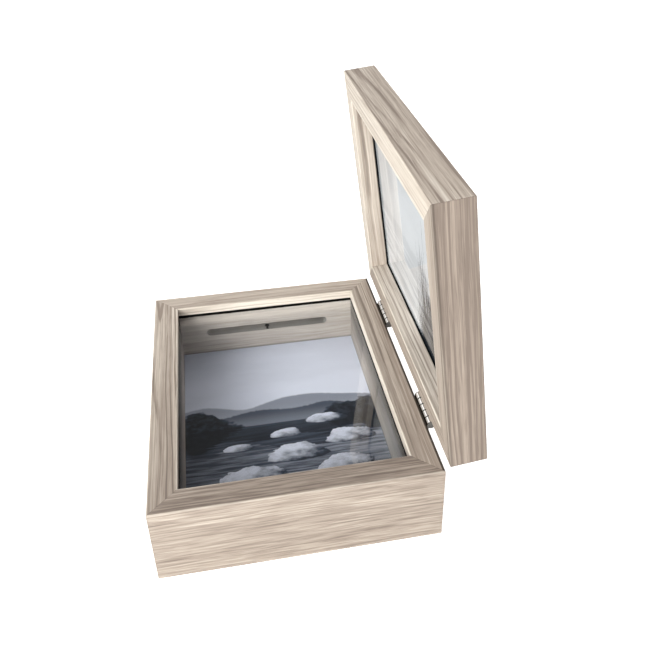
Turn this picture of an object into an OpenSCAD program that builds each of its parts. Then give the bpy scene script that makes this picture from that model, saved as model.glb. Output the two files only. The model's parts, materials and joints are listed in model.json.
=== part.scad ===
// Hinged photo storage box: a deep glazed base with a slot in its far wall and a glazed lid frame.
// X runs from the free side to the hinge side, Y away from the front, Z up.
// The base lies flat on its back and the lid stands open at its display angle.

/* [Frame] */
// Outer width of the box, from the free side to the hinge side
box_w = 154; // [130:1:260]
// Outer length of the box, along the hinge side
box_l = 205; // [180:1:340]
// Height of the base frame
base_h = 47; // [38:0.5:90]
// Thickness of the lid frame
lid_h = 20.5; // [16:0.5:40]
// Width of the rails as seen from above
face_w = 15.5; // [14:0.5:28]
// Thickness of the rails behind their lip
wall_t = 11.5; // [10:0.5:13]
// Depth of the base's lip above its glass
base_lip = 6; // [3:0.5:10]
// Rounding of the rails' long edges
edge_r = 0.6; // [0.3:0.1:1.2]

/* [Contents] */
// Thickness of both panes of glass
glass_t = 2; // [1.5:0.1:3]
// Thickness of both prints
print_t = 0.3; // [0.2:0.05:0.6]
// Thickness of both backing boards
board_t = 3; // [2:0.5:4]
// Play between the panes, prints or boards and the rails around them
pane_play = 0.5; // [0.3:0.1:1]
// Gap between the lips and the panes, which reads as a dark line
glass_gap = 1; // [0.1:0.1:1.6]
// Depth of the backing boards below the back of the rails
recess_h = 3; // [2.8:0.1:5]

/* [Slot] */
// Length of the slot through the far wall
slot_w = 87; // [40:1:110]
// Height of the slot
slot_h = 5.6; // [4.6:0.1:9]
// Height of the slot's middle above the print
slot_up = 17; // [8:0.5:22]
// Diameter of the round notch in the middle of the slot's floor
notch_d = 3.4; // [2:0.1:6]
// Depth of that notch below the slot's floor
notch_h = 1.6; // [0.8:0.1:3]

/* [Hinges] */
// Angle of the lid from closed
lid_open = 83.5; // [0:0.5:170]
// Gap between the closed lid and the base
closing_gap = 0.4; // [0.3:0.1:1]
// Length of each hinge
hinge_l = 28; // [22:1:50]
// Distance from each end of the box to the middle of its hinge
hinge_inset = 50.5; // [40:0.5:60]
// Width of each hinge leaf, from the pin's axis
leaf_w = 12.5; // [11:0.5:16]
// Thickness of the hinge leaves
leaf_t = 0.9; // [0.7:0.1:1.2]
// Radius of the hinge knuckles
knuckle_r = 2.3; // [2:0.1:3.5]
// Diameter of the hinge pins
pin_d = 2.2; // [1.6:0.1:2.6]
// Gap between neighbouring knuckles
knuckle_gap = 0.3; // [0.2:0.05:0.5]
// Radial clearance of a knuckle on its pin
pin_play = 0.06; // [0.03:0.01:0.1]
// Distance between the two screws of a leaf
screw_pitch = 16; // [12:0.5:18]
// Diameter of the hinge screws' shanks
screw_d = 2; // [1.6:0.1:2.4]
// Diameter of the hinge screws' heads
screw_head_d = 3.8; // [3.2:0.1:4.2]
// Length of the hinge screws
screw_l = 9; // [7:0.5:9.5]

/* [Turn clips] */
// Distance from the edge of the board to a clip's rivet
clip_inset = 8; // [7:0.5:12]
// Distance from each end of the box to its nearer clips
clip_end = 52; // [36:1:80]
// Thickness of the clips
clip_t = 1; // [0.8:0.1:1.2]
// Radius of a clip round its rivet
clip_eye_r = 5; // [4.2:0.1:6]
// Radius of a clip's tip
clip_tip_r = 2.8; // [2:0.1:3.5]
// Reach of a clip's tip into the groove
clip_bite = 3; // [2:0.1:3.4]
// Depth of the groove in the rails
groove_d = 4; // [4:0.1:5]
// Diameter of the rivets
rivet_d = 3; // [2.4:0.1:3.6]
// Diameter of the rivets' heads
rivet_head_d = 6; // [5:0.1:7]
// Thickness of the rivets' heads
rivet_head_t = 0.7; // [0.5:0.05:0.8]
// Radial clearance of a clip on its rivet
rivet_play = 0.06; // [0.03:0.01:0.1]
// Gap on each side of a clip, to its board and to its rivet's head
clip_gap = 0.25; // [0.2:0.05:0.3]

/* [Corner nails] */
// Length of the legs of the V-shaped nails in the mitres
vnail_leg = 5; // [3:0.5:6]
// Thickness of those nails
vnail_t = 0.5; // [0.4:0.1:0.8]
// Height of those nails
vnail_h = 7; // [5:0.5:9]
// Distance of those nails from the outer faces
vnail_inset = 3.6; // [2.5:0.1:4.5]
// Depth of those nails below the back of the rails
vnail_sink = 0.3; // [0.2:0.1:0.8]

/* [Hidden] */

$fn = 64;
// Small overshoot that keeps cuts clear of coplanar faces
cut = 1;

// Stack of the base, from its back up
board_z = recess_h;
print_z = board_z + board_t;
floor_z = print_z + print_t;
base_glass_z = base_h - base_lip - glass_gap - glass_t;
lining_h = base_glass_z - floor_z;

// The lining strips fill the rabbet and end flush with the lip
lining_t = face_w - wall_t;

// Lip of the lid, in front of its glass
lid_lip = lid_h - recess_h - board_t - print_t - glass_t - glass_gap;

// Groove for the clips, measured from the back of the rails
groove_h = clip_t + 2 * clip_gap;
clip_z = board_z - clip_gap - clip_t;

// Countersunk foot of a rivet, in the front of its board
rivet_foot_h = board_t / 4;

// Axis of the two hinges, on the right of the box at the height where the halves meet
axis_x = box_w + knuckle_r;
axis_z = base_h + closing_gap / 2;
leaf_gap = knuckle_r + knuckle_gap;
knuckle_count = 5;
knuckle_l = (hinge_l - (knuckle_count - 1) * knuckle_gap) / knuckle_count;
knuckle_pitch = knuckle_l + knuckle_gap;
hinge_places = [hinge_inset, box_l - hinge_inset];

// Screws sit in the middle of what is left of a leaf beside its knuckles
screw_z = (leaf_gap + leaf_w) / 2;
screw_head_h = (screw_head_d - screw_d) / 2;

// Cross recess of the screws: length, width and depth of each stroke
cross_l = screw_head_d * 0.6;
cross_t = screw_head_d * 0.16;
cross_h = screw_head_h * 0.8;

// Middle of the slot, and the notch behind the inner face of the lining: its centre and its narrow way
slot_z = floor_z + slot_up;
notch_back = lining_t + notch_d / 2;
notch_way = notch_d / 2;
notch_front = notch_d / 4;

// Places of the clips: the rivets, two along each long rail
pane_w = box_w - 2 * wall_t;
pane_l = box_l - 2 * wall_t;
rivet_in = wall_t + pane_play + clip_inset;
clip_arm = rivet_in - wall_t + clip_bite - clip_tip_r;

// Footprint of the open box, which centres it on the origin
lid_edges = [for (u = [edge_r, box_w - edge_r], t = [edge_r, lid_h - edge_r])
    axis_x - (knuckle_r + u) * cos(lid_open) + (closing_gap / 2 + t) * sin(lid_open)];
footprint_x1 = max(max(lid_edges) + edge_r, axis_x + knuckle_r);
footprint_x0 = min(min(lid_edges) - edge_r, 0);
centre_x = (footprint_x0 + footprint_x1) / 2;

// Pieces of the base are modelled from its front free corner on the table
module in_base() {
    translate([-centre_x, -box_l / 2, 0]) children();
}

// Pieces of the lid are modelled closed, lying face down on the base, and then swung open
module in_lid() {
    in_base() translate([axis_x, 0, axis_z]) rotate([0, lid_open, 0])
        translate([-axis_x, 0, -axis_z]) children();
}

// The lid's own stack is the base's turned over: its back is up
module turned_over(thickness) {
    translate([0, 0, base_h + closing_gap + thickness]) mirror([0, 0, 1]) children();
}

// Rails

// What rounding takes off a square edge at the origin, on its negative sides
module edge_waste() {
    difference() {
        translate([-cut, -cut]) square(cut + edge_r);
        translate([edge_r, edge_r]) circle(edge_r);
    }
}

// Section of a rail: outer face at x = 0, back at y = 0, lip and groove towards +x
module rail_section(height, lip) {
    difference() {
        square([face_w, height]);
        translate([wall_t, -cut]) square([face_w, height - lip + cut]);
        translate([wall_t - groove_d, board_z - groove_h]) square([groove_d + cut, groove_h]);
        edge_waste();
        translate([0, height]) mirror([0, 1]) edge_waste();
        translate([face_w, height]) rotate(180) edge_waste();
    }
}

// A rail along X with its outer face at y = 0, mitred at both ends
module mitred_rail(length, height, lip) {
    intersection() {
        rotate([90, 0, 90]) linear_extrude(length) rail_section(height, lip);
        linear_extrude(height)
            polygon([[0, 0], [length, 0], [length - face_w, face_w], [face_w, face_w]]);
    }
}

// Places for the four sides of a frame
module at_front() {
    children();
}

module at_back() {
    translate([0, box_l, 0]) mirror([0, 1, 0]) children();
}

module at_free() {
    mirror([1, -1, 0]) children();
}

module at_hinge() {
    translate([box_w, 0, 0]) mirror([1, 0, 0]) mirror([1, -1, 0]) children();
}

// One nail at each corner from height z0 to z1, its legs along the two rails
module corner_nails(z0, z1) {
    for (corner = [[0, 0], [1, 0], [0, 1], [1, 1]])
        translate([corner[0] * box_w, corner[1] * box_l, z0])
            mirror([corner[0], 0, 0]) mirror([0, corner[1], 0])
                translate([vnail_inset, vnail_inset, 0]) linear_extrude(z1 - z0) union() {
                    square([vnail_leg, vnail_t]);
                    square([vnail_t, vnail_leg]);
                }
}

// The slits that the nails leave in the back of the rails as they are driven in
module nail_slits() {
    corner_nails(-cut, vnail_sink + vnail_h);
}

// Slot

// The slot through the far wall, as it is cut from rail and lining alike
module slot_cut() {
    reach = face_w + 2 * cut;
    translate([box_w / 2, box_l + cut, slot_z]) rotate([90, 0, 0]) linear_extrude(reach) union() {
        square([slot_w - slot_h, slot_h], center = true);
        for (side = [-1, 1]) translate([side * (slot_w - slot_h) / 2, 0]) circle(d = slot_h);
    }
}

// The notch in the slot's floor: round, with a narrow way to the inside
module notch_cut() {
    notch_z = slot_z - slot_h / 2 - notch_h;
    inner_y = box_l - face_w;
    translate([box_w / 2, inner_y + notch_back, notch_z]) cylinder(d = notch_d, h = notch_h + cut);
    translate([(box_w - notch_way) / 2, inner_y + notch_front, notch_z])
        cube([notch_way, notch_back - notch_front, notch_h + cut]);
}

// Hinges

// Span of knuckle number i along the pin, from the hinge's near end
function knuckle_y(i) = i * knuckle_pitch;

// A leaf: plate against the wood and the knuckles numbered in own, below the pin's axis
module leaf(own) {
    difference() {
        union() {
            translate([-knuckle_r, 0, -leaf_w]) cube([leaf_t, hinge_l, leaf_w - leaf_gap]);
            for (i = own) translate([0, knuckle_y(i), 0]) {
                rotate([-90, 0, 0]) cylinder(r = knuckle_r, h = knuckle_l);
                translate([-knuckle_r, 0, -leaf_gap - leaf_t]) cube([leaf_t, knuckle_l, leaf_gap + leaf_t]);
            }
        }
        translate([0, -cut, 0]) rotate([-90, 0, 0]) cylinder(r = pin_d / 2 + pin_play, h = hinge_l + 2 * cut);
        at_leaf_screws() screw();
    }
}

// Puts children at the two screws of a leaf, with +z out of the leaf
module at_leaf_screws() {
    for (side = [-1, 1])
        translate([-knuckle_r + leaf_t, hinge_l / 2 + side * screw_pitch / 2, -screw_z])
            rotate([0, 90, 0]) children();
}

// A countersunk screw without its recess, which is also the shape of the hole it needs
module screw() {
    rotate_extrude() polygon([[0, 0], [screw_head_d / 2, 0], [screw_d / 2, -screw_head_h],
        [screw_d / 2, screw_d - screw_l], [0, -screw_l]]);
}

// The same screw with its cross recess
module cross_screw() {
    difference() {
        screw();
        for (turn = [0, 90]) rotate(turn)
            translate([-cross_l / 2, -cross_t / 2, -cross_h]) cube([cross_l, cross_t, cross_h + cut]);
    }
}

// Puts children at a hinge's near end on the pin's axis
module at_hinge_axis(place) {
    translate([axis_x, place - hinge_l / 2, axis_z]) children();
}

// Puts children at every screw of the base's leaves, and of the lid's
module at_base_screws() {
    for (place = hinge_places) at_hinge_axis(place) at_leaf_screws() children();
}

module at_lid_screws() {
    for (place = hinge_places) at_hinge_axis(place) mirror([0, 0, 1]) at_leaf_screws() children();
}

module hinge_pin(place) {
    color("silver") in_base() at_hinge_axis(place)
        rotate([-90, 0, 0]) cylinder(d = pin_d, h = hinge_l);
}

// Turn clips, modelled on the base's back

// Puts children at rivet number i, with the clip's arm along -X towards the nearer long rail
module at_rivet(i) {
    far_side = i > 2;
    upper_end = i % 2 == 0;
    translate([far_side ? box_w : 0, upper_end ? box_l - clip_end : clip_end, 0])
        mirror([far_side ? 1 : 0, 0, 0]) translate([rivet_in, 0, 0]) children();
}

// Outline of a clip: an eye round the rivet and an arm with a round end
module clip_outline() {
    circle(clip_eye_r);
    translate([-clip_arm, 0]) circle(clip_tip_r);
    translate([-clip_arm, -clip_tip_r]) square([clip_arm, 2 * clip_tip_r]);
}

module clip(i) {
    at_rivet(i) translate([0, 0, clip_z]) linear_extrude(clip_t) difference() {
        clip_outline();
        circle(rivet_d / 2 + rivet_play);
    }
}

// A rivet: foot flush in the front of the board, shoulder under the clip and head over it
module rivet() {
    head_z = clip_z - clip_gap;
    rotate_extrude() polygon([[0, head_z - rivet_head_t], [rivet_head_d / 2 - rivet_head_t, head_z - rivet_head_t],
        [rivet_head_d / 2, head_z], [rivet_d / 2, head_z], [rivet_d / 2, print_z - rivet_foot_h],
        [rivet_head_d / 2, print_z], [0, print_z]]);
}

// The hole that a rivet fills in its board, as wide as its foot at the front
module rivet_hole() {
    rotate_extrude() polygon([[0, board_z - cut], [rivet_d / 2, board_z - cut],
        [rivet_d / 2, print_z - rivet_foot_h], [rivet_head_d / 2, print_z],
        [rivet_head_d / 2, print_z + cut], [0, print_z + cut]]);
}

module rivets() {
    for (i = [1:4]) at_rivet(i) rivet();
}

// A backing board with its rivet holes
module board() {
    difference() {
        pane(board_z, board_t);
        for (i = [1:4]) at_rivet(i) rivet_hole();
    }
}

// A sheet that lies in the rails' rabbet
module pane(z, thickness) {
    translate([wall_t + pane_play, wall_t + pane_play, z])
        cube([pane_w - 2 * pane_play, pane_l - 2 * pane_play, thickness]);
}

// Base

module base_rail(length) {
    mitred_rail(length, base_h, base_lip);
}

module base_front_rail() {
    color("tan") in_base() difference() {
        at_front() base_rail(box_w);
        nail_slits();
    }
}

module base_slot_rail() {
    color("tan") in_base() difference() {
        at_back() base_rail(box_w);
        nail_slits();
        slot_cut();
        notch_cut();
    }
}

module base_free_rail() {
    color("burlywood") in_base() difference() {
        at_free() base_rail(box_l);
        nail_slits();
    }
}

module base_hinge_rail() {
    color("burlywood") in_base() difference() {
        at_hinge() base_rail(box_l);
        nail_slits();
        at_base_screws() screw();
    }
}

module base_corner_nails() {
    color("slategray") in_base() corner_nails(vnail_sink, vnail_sink + vnail_h);
}

module base_glass() {
    color("lightcyan", 0.4) in_base() pane(base_glass_z, glass_t);
}

// The lining strips stand on the print and carry the glass

module base_lining_front() {
    color("bisque") in_base() translate([face_w, wall_t, floor_z])
        cube([box_w - 2 * face_w, lining_t, lining_h]);
}

module base_lining_slot() {
    color("bisque") in_base() difference() {
        translate([face_w, box_l - face_w, floor_z]) cube([box_w - 2 * face_w, lining_t, lining_h]);
        slot_cut();
        notch_cut();
    }
}

module long_lining() {
    translate([wall_t, wall_t, floor_z]) cube([lining_t, box_l - 2 * wall_t, lining_h]);
}

module base_lining_free() {
    color("wheat") in_base() long_lining();
}

module base_lining_hinge() {
    color("wheat") in_base() translate([box_w, 0, 0]) mirror([1, 0, 0]) long_lining();
}

module base_print() {
    color("gainsboro") in_base() pane(print_z, print_t);
}

module base_board() {
    color("peru") in_base() board();
}

module base_rivets() {
    color("silver") in_base() rivets();
}

module base_clip(i) {
    color("lightsteelblue") in_base() clip(i);
}

module base_leaf(place) {
    color("silver") in_base() at_hinge_axis(place) leaf([0, 2, 4]);
}

module base_leaf_screws() {
    color("gray") in_base() at_base_screws() cross_screw();
}

// Lid

module lid_rail(length) {
    mitred_rail(length, lid_h, lid_lip);
}

module lid_front_rail() {
    color("tan") in_lid() turned_over(lid_h) difference() {
        at_front() lid_rail(box_w);
        nail_slits();
    }
}

module lid_back_rail() {
    color("tan") in_lid() turned_over(lid_h) difference() {
        at_back() lid_rail(box_w);
        nail_slits();
    }
}

module lid_top_rail() {
    color("burlywood") in_lid() turned_over(lid_h) difference() {
        at_free() lid_rail(box_l);
        nail_slits();
    }
}

module lid_hinge_rail() {
    color("burlywood") in_lid() difference() {
        turned_over(lid_h) difference() {
            at_hinge() lid_rail(box_l);
            nail_slits();
        }
        at_lid_screws() screw();
    }
}

module lid_corner_nails() {
    color("slategray") in_lid() turned_over(lid_h)
        corner_nails(vnail_sink, vnail_sink + vnail_h);
}

module lid_glass() {
    color("lightcyan", 0.4) in_lid() turned_over(lid_h) pane(floor_z, glass_t);
}

module lid_print() {
    color("gainsboro") in_lid() turned_over(lid_h) pane(print_z, print_t);
}

module lid_board() {
    color("peru") in_lid() turned_over(lid_h) board();
}

module lid_rivets() {
    color("silver") in_lid() turned_over(lid_h) rivets();
}

module lid_clip(i) {
    color("lightsteelblue") in_lid() turned_over(lid_h) clip(i);
}

module lid_leaf(place) {
    color("silver") in_lid() at_hinge_axis(place) mirror([0, 0, 1]) leaf([1, 3]);
}

module lid_leaf_screws() {
    color("gray") in_lid() at_lid_screws() cross_screw();
}

base_front_rail();
base_slot_rail();
base_free_rail();
base_hinge_rail();
base_corner_nails();
base_glass();
base_lining_front();
base_lining_slot();
base_lining_free();
base_lining_hinge();
base_print();
base_board();
base_rivets();
base_clip(1);  // base_clip_1
base_clip(2);  // base_clip_2
base_clip(3);  // base_clip_3
base_clip(4);  // base_clip_4
base_leaf(hinge_places[0]);  // base_leaf_near
base_leaf(hinge_places[1]);  // base_leaf_far
base_leaf_screws();
hinge_pin(hinge_places[0]);  // hinge_pin_near
hinge_pin(hinge_places[1]);  // hinge_pin_far
lid_front_rail();
lid_back_rail();
lid_top_rail();
lid_hinge_rail();
lid_corner_nails();
lid_glass();
lid_print();
lid_board();
lid_rivets();
lid_clip(1);  // lid_clip_1
lid_clip(2);  // lid_clip_2
lid_clip(3);  // lid_clip_3
lid_clip(4);  // lid_clip_4
lid_leaf(hinge_places[0]);  // lid_leaf_near
lid_leaf(hinge_places[1]);  // lid_leaf_far
lid_leaf_screws();
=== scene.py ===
"""Looks of a hinged photo storage box: oak-grain rails, glazed prints, nickel hinges, hardboard backs.

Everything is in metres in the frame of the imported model: X from the free side to the hinge side, Y away
from the front, Z up. Sizes inside the shader groups are in millimetres.
"""

import json
import math

import bmesh
import bpy
from mathutils import Matrix, Vector


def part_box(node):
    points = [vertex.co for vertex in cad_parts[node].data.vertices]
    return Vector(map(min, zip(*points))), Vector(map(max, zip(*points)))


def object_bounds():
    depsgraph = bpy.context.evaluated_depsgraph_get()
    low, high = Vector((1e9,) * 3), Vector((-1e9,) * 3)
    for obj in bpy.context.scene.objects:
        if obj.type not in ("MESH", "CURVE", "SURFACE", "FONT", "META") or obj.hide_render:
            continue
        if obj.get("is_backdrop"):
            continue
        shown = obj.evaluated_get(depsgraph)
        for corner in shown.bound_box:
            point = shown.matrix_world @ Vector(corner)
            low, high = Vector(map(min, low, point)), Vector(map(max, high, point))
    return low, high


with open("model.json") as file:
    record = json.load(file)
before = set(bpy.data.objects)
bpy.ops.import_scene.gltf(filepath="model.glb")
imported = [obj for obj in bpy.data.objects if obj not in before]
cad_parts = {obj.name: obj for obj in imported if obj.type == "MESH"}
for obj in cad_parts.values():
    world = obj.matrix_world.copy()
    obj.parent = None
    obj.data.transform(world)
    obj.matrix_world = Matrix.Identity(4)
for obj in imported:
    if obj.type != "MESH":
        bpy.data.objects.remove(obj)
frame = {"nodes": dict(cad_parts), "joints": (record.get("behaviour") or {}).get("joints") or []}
cad_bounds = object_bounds()
nodes = frame["nodes"]

MM = 0.001
AXIS_X, AXIS_Y, AXIS_Z = Vector((1, 0, 0)), Vector((0, 1, 0)), Vector((0, 0, 1))


# Sizes and places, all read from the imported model

front_low, front_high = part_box("base_front_rail")
_, back_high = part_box("base_slot_rail")
_, side_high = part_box("base_hinge_rail")
lining_low, lining_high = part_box("base_lining_free")
print_low, print_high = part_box("base_print")

box_w = side_high.x - front_low.x
box_l = back_high.y - front_low.y
base_h = front_high.z
face_w = front_high.y - front_low.y
wall_t = lining_low.x - front_low.x
base_corner = Vector((front_low.x, front_low.y, 0))

lid_joint = next(joint for joint in frame["joints"] if joint["name"] == "lid_hinge")
hinge_point = Vector(lid_joint["pos_m"])
lid_open = math.radians(-lid_joint["range_deg"][0])
lid_turn = Matrix.Rotation(lid_open, 3, "Y")

lid_front_points = [vertex.co for vertex in nodes["lid_front_rail"].data.vertices]


def closed_lid_point(point):
    """Where a point of the open lid lies when the lid is closed on the base."""
    return hinge_point + lid_turn.inverted() @ (Vector(point) - hinge_point)


def opened_lid_point(point):
    """Where a point of the closed lid goes when the lid opens to its display angle."""
    return hinge_point + lid_turn @ (Vector(point) - hinge_point)


lid_closed_points = [closed_lid_point(point) for point in lid_front_points]
lid_back_z = max(point.z for point in lid_closed_points)
lid_face_z = min(point.z for point in lid_closed_points)
lid_h = lid_back_z - lid_face_z


def reveal_heights(points):
    """Heights at which a front rail's reveal starts and ends."""
    tolerance = 0.01 * MM
    on_reveal = [point.z for point in points if abs(point.y - front_high.y) < tolerance]
    return min(on_reveal), max(on_reveal)


base_front_points = [vertex.co for vertex in nodes["base_front_rail"].data.vertices]
base_lip = base_h - reveal_heights(base_front_points)[0]
lid_lip = reveal_heights(lid_closed_points)[1] - lid_face_z

slot_points = [vertex.co for vertex in nodes["base_lining_slot"].data.vertices
               if lining_low.z + MM < vertex.co.z < lining_high.z - MM]
notch_reach = 5 * MM
slot_middle = base_corner.x + box_w / 2
slot_floor = min(point.z for point in slot_points if abs(point.x - slot_middle) > notch_reach)
slot_sizes = {"Middle": box_w / 2 / MM, "Floor": slot_floor / MM, "Reach": notch_reach / MM}

leaf_low, leaf_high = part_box("base_leaf_near")
knuckle_r = leaf_high.x - hinge_point.x
knuckle_count = 5
knuckle_pitch = (leaf_high.y - leaf_low.y) / knuckle_count
lip_cover = face_w - (print_low.x - base_corner.x)


# Camera, solved from the photograph: its place and angles, and the frame's width in pixels

photo_px = 650
camera_place = Vector((-36.24, -389.88, 342.78)) * MM
camera_yaw, camera_pitch, camera_roll = (math.radians(angle) for angle in (11.11, -31.35, -0.30))
focal_px = 782.44
axis_px = Vector((360, 290))


def make_camera():
    sensor = 36
    data = bpy.data.cameras.new("photo_camera")
    data.sensor_width = sensor
    data.lens = focal_px * sensor / photo_px
    data.shift_x = (photo_px / 2 - axis_px.x) / photo_px
    data.shift_y = (axis_px.y - photo_px / 2) / photo_px
    data.clip_start, data.clip_end = 0.01, 50
    camera = bpy.data.objects.new("photo_camera", data)
    bpy.context.scene.collection.objects.link(camera)
    level = Matrix.Rotation(-camera_yaw, 3, "Z") @ Matrix.Rotation(math.pi / 2 + camera_pitch, 3, "X")
    turned = level @ Matrix.Rotation(camera_roll, 3, "Z")
    camera.matrix_world = Matrix.Translation(camera_place) @ turned.to_4x4()
    bpy.context.scene.camera = camera


# Node graphs

class Graph:
    """Adds nodes to one tree. Each call gives the new node's output socket."""

    def __init__(self, tree):
        self.tree = tree

    def feed(self, socket, value):
        if isinstance(value, bpy.types.NodeSocket):
            self.tree.links.new(value, socket)
        elif value is not None:
            socket.default_value = value

    def node(self, kind, settings=None, **inputs):
        made = self.tree.nodes.new("ShaderNode" + kind)
        for name, value in (settings or {}).items():
            setattr(made, name, value)
        for name, value in inputs.items():
            self.feed(made.inputs[name.replace("_", " ")], value)
        return made

    def math(self, operation, *values, clamp=False):
        made = self.node("Math", {"operation": operation, "use_clamp": clamp})
        for socket, value in zip(made.inputs, values):
            self.feed(socket, value)
        return made.outputs[0]

    def vector(self, operation, *values):
        made = self.node("VectorMath", {"operation": operation})
        for socket, value in zip(made.inputs, values):
            self.feed(socket, value)
        return made.outputs["Value" if operation in ("DOT_PRODUCT", "LENGTH") else "Vector"]

    def scale(self, vector, factor):
        scaled = self.vector("SCALE", vector)
        self.feed(scaled.node.inputs["Scale"], factor)
        return scaled

    def nudge(self, value, amount, base, clamp=False):
        """base, moved by amount times how far value is from a half."""
        return self.math("MULTIPLY_ADD", self.math("SUBTRACT", value, 0.5), amount, base, clamp=clamp)

    def parts(self, vector):
        made = self.node("SeparateXYZ", Vector=vector)
        return made.outputs[0], made.outputs[1], made.outputs[2]

    def join(self, x, y, z):
        return self.node("CombineXYZ", X=x, Y=y, Z=z).outputs[0]

    def noise(self, vector, stretch, detail, roughness, shift=None, colour=False):
        """Noise whose grains are 1 / stretch millimetres along each axis."""
        place = self.vector("MULTIPLY", vector, stretch)
        if shift is not None:
            place = self.vector("ADD", place, shift)
        made = self.node("TexNoise", Vector=place, Scale=1.0, Detail=detail, Roughness=roughness)
        return made.outputs["Color" if colour else "Fac"]

    def ease(self, value, low, high, start=0.0, end=1.0):
        """A smooth step from start to end as value goes from low to high."""
        made = self.node("MapRange", {"interpolation_type": "SMOOTHSTEP"}, Value=value, From_Min=low,
                         From_Max=high, To_Min=start, To_Max=end)
        return made.outputs[0]

    def mix(self, share, first, second, blend="MIX"):
        made = self.node("Mix", {"data_type": "RGBA", "blend_type": blend, "clamp_factor": True})
        self.feed(made.inputs[0], share)
        self.feed(made.inputs[6], first)
        self.feed(made.inputs[7], second)
        return made.outputs[2]

    def ramp(self, value, *stops):
        """Colours between (place, colour) stops."""
        made = self.node("ValToRGB", Fac=value)
        elements = made.color_ramp.elements
        while len(elements) < len(stops):
            elements.new(0.5)
        for element, (place, colour) in zip(elements, stops):
            element.position = place
            element.color = (*colour, 1)
        return made.outputs["Color"]

    def bump(self, height, strength, distance):
        return self.node("Bump", Height=height, Strength=strength, Distance=distance).outputs[0]

    def use(self, group, **inputs):
        """Places a node group and gives its outputs by name."""
        made = self.tree.nodes.new("ShaderNodeGroup")
        made.node_tree = group
        for name, value in inputs.items():
            self.feed(made.inputs[name.replace("_", " ")], value)
        return {socket.name: socket for socket in made.outputs}


KINDS = {"value": "NodeSocketFloat", "vector": "NodeSocketVector", "colour": "NodeSocketColor"}


def node_group(name, inputs, outputs):
    """A new shader node group: its graph, its inputs by name and a function that closes its outputs."""
    tree = bpy.data.node_groups.new(name, "ShaderNodeTree")
    for label, kind in inputs.items():
        tree.interface.new_socket(name=label, in_out="INPUT", socket_type=KINDS[kind])
    for label, kind in outputs.items():
        tree.interface.new_socket(name=label, in_out="OUTPUT", socket_type=KINDS[kind])
    entry = tree.nodes.new("NodeGroupInput")
    leave = tree.nodes.new("NodeGroupOutput")
    graph = Graph(tree)

    def close(**values):
        for label, value in values.items():
            graph.feed(leave.inputs[label.replace("_", " ")], value)
        return tree

    return graph, {socket.name: socket for socket in entry.outputs if socket.name}, close


def make_model_place():
    """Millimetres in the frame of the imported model."""
    graph, _, close = node_group("model_place", {}, {"Place": "vector"})
    return close(Place=graph.scale(graph.node("TexCoord").outputs["Object"], 1 / MM))


def make_piece_place():
    """Millimetres along a piece, inward from its outer face and up from its back."""
    directions = {"Origin": "vector", "Along": "vector", "Inward": "vector", "Up": "vector"}
    graph, given, close = node_group("piece_place", directions, {"Place": "vector"})
    spot = graph.node("TexCoord").outputs["Object"]
    offset = graph.vector("SUBTRACT", spot, given["Origin"])
    ways = [graph.vector("DOT_PRODUCT", offset, given[name]) for name in ("Along", "Inward", "Up")]
    return close(Place=graph.scale(graph.join(*ways), 1 / MM))


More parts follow.
